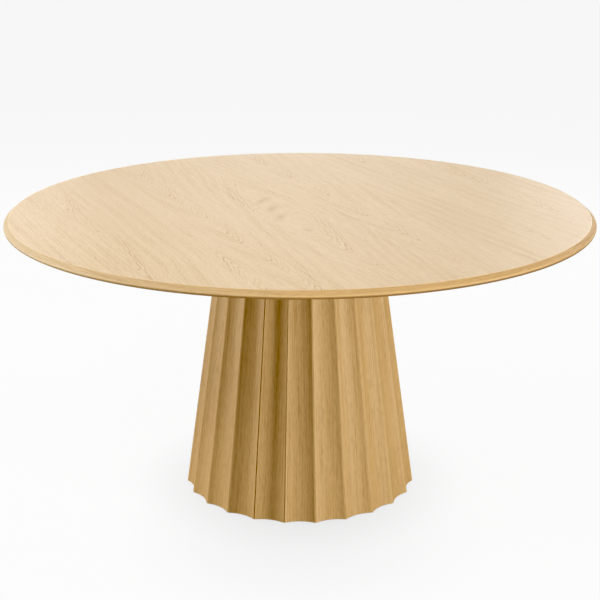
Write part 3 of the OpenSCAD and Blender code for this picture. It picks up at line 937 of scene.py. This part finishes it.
def make_glide(k, plated, cloth):
    """A levelling glide: a threaded stud, which swivels by its ball in a pad with a felt sole."""
    stud, pad, sole = f"glide_stud_{k}", f"glide_pad_{k}", f"glide_sole_{k}"
    pad_low, pad_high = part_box(pad)
    sole_low, sole_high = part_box(sole)
    middle = (pad_low + pad_high) / 2
    place = [((middle.x, middle.y, 0), math.atan2(middle.y, middle.x))]
    pad_r, sole_r = (pad_high.x - pad_low.x) / 2, (sole_high.x - sole_low.x) / 2
    rows = stud_rows(sole_low.z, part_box(stud)[1].z)
    turned_piece(stud + "_threaded", rows, place, plated, f"screw_{k}", "zinc_steel", stud)
    rows = pad_rows(pad_low.z, pad_high.z, pad_r, sole_r, sole_low.z + BALL_UP)
    turned_piece(pad + "_turned", rows, place, plated, f"glide_{k}", "zinc_steel", pad)
    rows = sole_rows(sole_low.z, sole_high.z, sole_r, k)
    turned_piece(sole + "_felt", rows, place, cloth, f"glide_{k}", "felt", sole)


# ---- Floor and lights ----

FLOOR_HALF = 60.0                    # metres
BOUNCE_Z = -1 * MM                   # height of the floor's unseen layer
GLOW_NEAR, GLOW_FAR = 0.948, 0.932   # brightness of the seen floor round the table and far behind it
NEAR, FAR = 1.5, 7.0                 # metres from the table
CONTACT_SHADE = 0.20                 # how dark its shadow is where the pedestal hides all of the room
CONTACT_REACH = 0.20                 # how far that shadow reaches, in metres
FRONT_SHADE = 0.075                  # of the wide shadow in front of the foot
FRONT_PLACE, FRONT_REACH = (0.0, -0.36, 0), 0.52
FLOOR_BOUNCE = 0.35                  # how much light the unseen layer returns


def floor_layer(name, z, paint):
    h = FLOOR_HALF
    mesh = bpy.data.meshes.new(name)
    mesh.from_pydata([(-h, -h, z), (h, -h, z), (h, h, z), (-h, h, z)], [], [(0, 1, 2, 3)])
    mesh.materials.append(paint)
    floor = link(name, mesh)
    return floor


def make_floor():
    """A pale floor in two layers: the one that is seen shows only faint shadows, and the one under it,
    which is not seen, gives the table its light from below."""
    seen = floor_layer("floor_seen", 0.0, seen_floor_paint())
    seen.visible_diffuse = seen.visible_glossy = seen.visible_shadow = False
    seen.visible_transmission = seen.visible_volume_scatter = False
    bounce = floor_layer("floor_bounce", BOUNCE_Z, bounce_floor_paint())
    bounce.visible_camera = False


def seen_floor_paint():
    n = Nodes("floor_seen_paint")
    place = n.place()
    cloud = n.noise(place, scale=0.4, detail=2)
    n.set(Base_Color=n.mix(cloud, (0.028, 0.028, 0.028), (0.032, 0.032, 0.032)), Roughness=1.0)
    distance = n.new("VectorMath", operation="LENGTH")
    n.join(place, distance.inputs[0])
    glow = n.range(distance.outputs["Value"], NEAR, FAR, GLOW_NEAR, GLOW_FAR)
    open_room = n.new("AmbientOcclusion", samples=12)
    open_room.inputs["Distance"].default_value = CONTACT_REACH
    contact = n.range(open_room.outputs["AO"], 0, 1, 1 - CONTACT_SHADE, 1)
    from_front = n.new("VectorMath", operation="DISTANCE")
    n.join(place, from_front.inputs[0])
    n.join(FRONT_PLACE, from_front.inputs[1])
    front = n.new("MapRange", interpolation_type="SMOOTHSTEP")
    values = (from_front.outputs["Value"], 0.0, FRONT_REACH, 1 - FRONT_SHADE, 1.0)
    for value, socket in zip(values, front.inputs):
        n.join(value, socket)
    shade = n.math("MULTIPLY", contact, front.outputs[0])
    n.set(Specular_IOR_Level=0.0, Emission_Color=(1.0, 1.0, 1.0, 1))
    n.set(Emission_Strength=n.math("MULTIPLY", glow, shade))
    return n.material


def bounce_floor_paint():
    n = Nodes("floor_bounce_paint")
    cloud = n.noise(n.place(), scale=0.4, detail=2)
    shade = (FLOOR_BOUNCE,) * 3
    n.set(Base_Color=n.mix(cloud, shade, shade), Roughness=1.0, Specular_IOR_Level=0.0)
    return n.material


LIGHTS = {
    # name: azimuth from +Y clockwise seen from above, elevation, distance, size, power
    "right_low_lamp": (117, 8, 7.0, 0.8, 306),
    "left_low_lamp": (-83, 10.5, 7.0, 0.8, 190),
    "left_rear_lamp": (-70, 11, 7.0, 0.7, 95),
    "left_high_softbox": (-90, 50, 4.0, 2.0, 34),
    "left_back_softbox": (-60, 28, 4.0, 2.0, 8),
    "right_back_softbox": (60, 28, 4.0, 2.0, 20),
    "back_left_softbox": (-30, 20, 4.0, 2.0, 16),
    "back_softbox": (0, 20, 4.0, 2.0, 13),
    "back_right_softbox": (30, 20, 4.0, 2.0, 24),
    "overhead_softbox": (90, 72, 4.0, 3.0, 22),
    "front_high_softbox": (-155, 50, 4.0, 2.2, 49),
    "front_softbox": (180, 25, 4.0, 2.0, 15),
    "front_right_fill": (170, 6, 4.0, 0.9, 10),
    "front_left_fill": (-162, 6, 4.0, 0.9, 13.5),
}
LIGHT_AIM = (0, 0, 0.4)
WORLD_GLOW = 0.55                    # of the white room that glossy surfaces reflect
BLACK_LEVEL = 0.08                   # of the camera, in linear light


def make_lights():
    for name, (azimuth, elevation, distance, size, power) in LIGHTS.items():
        data = bpy.data.lights.new(name, "AREA")
        data.shape = "DISK"
        data.size = size
        data.energy = power
        a, e = math.radians(azimuth), math.radians(elevation)
        back = Vector((math.sin(a) * math.cos(e), math.cos(a) * math.cos(e), math.sin(e)))
        lamp = bpy.data.objects.new(name, data)
        lamp.location = Vector(LIGHT_AIM) + back * distance
        lamp.rotation_mode = "QUATERNION"
        lamp.rotation_quaternion = back.to_track_quat("Z", "Y")
        lamp.visible_camera = False
        bpy.context.scene.collection.objects.link(lamp)


def make_world():
    world = bpy.data.worlds.new("studio")
    world.use_nodes = True
    glow = world.node_tree.nodes["Background"]
    glow.inputs["Color"].default_value = (1, 1, 1, 1)
    glow.inputs["Strength"].default_value = WORLD_GLOW
    bpy.context.scene.world = world
    world.cycles_visibility.diffuse = False
    view = bpy.context.scene.view_settings
    view.view_transform = "Standard"
    view.use_curve_mapping = True
    view.curve_mapping.black_level = (BLACK_LEVEL,) * 3
    view.curve_mapping.update()


# ---- The whole scene ----

def dress_cad_nodes(plated, black):
    """Materials for the CAD nodes that stay as they are."""
    flat_ply = plywood("plywood_flat", "Z")
    ply_x, ply_y = plywood("plywood_x", "X"), plywood("plywood_y", "Y")
    by_start = {
        "table_top_core": fibreboard("fibreboard"),
        "top_back_veneer": plain_oak("oak_back", PALE_STAVE, DARK_STAVE),
        "head_former": flat_ply, "mid_former": flat_ply, "foot_former": flat_ply,
        "rib_lower_a": ply_y, "rib_upper_a": ply_y, "rib_lower_b": ply_x, "rib_upper_b": ply_x,
        "spreader_plate": black, "base_plate": black,
    }
    for node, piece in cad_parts.items():
        if piece.hide_render:
            continue
        found = [m for start, m in by_start.items() if node.startswith(start)]
        piece.data.materials.clear()
        piece.data.materials.append(found[0] if found else plated)


make_camera()
plated, black, cloth = zinc("zinc"), powder_coat("black_steel"), felt("felt")
make_pedestal(oak(
    "oak_stave", PALE_STAVE, DARK_STAVE,
    ring_contrast=0.4, tone_contrast=0.25, streak_contrast=0.33, roughness=0.56,
))
make_face_veneer(oak(
    "oak_veneer", PALE_TOP, DARK_TOP,
    ring_contrast=0.9, tone_contrast=0.12, streak_contrast=0.22, roughness=0.42,
))
make_lipping(oak(
    "oak_edge", PALE_STAVE, DARK_STAVE,
    ring_contrast=0.5, tone_contrast=0.5, streak_contrast=0.3, roughness=0.56,
))
make_top_bolts(black, plated)
make_plate_screws(plated)
for k in range(1, 5):
    make_glide(k, plated, cloth)
dress_cad_nodes(plated, black)
make_floor()
make_lights()
make_world()
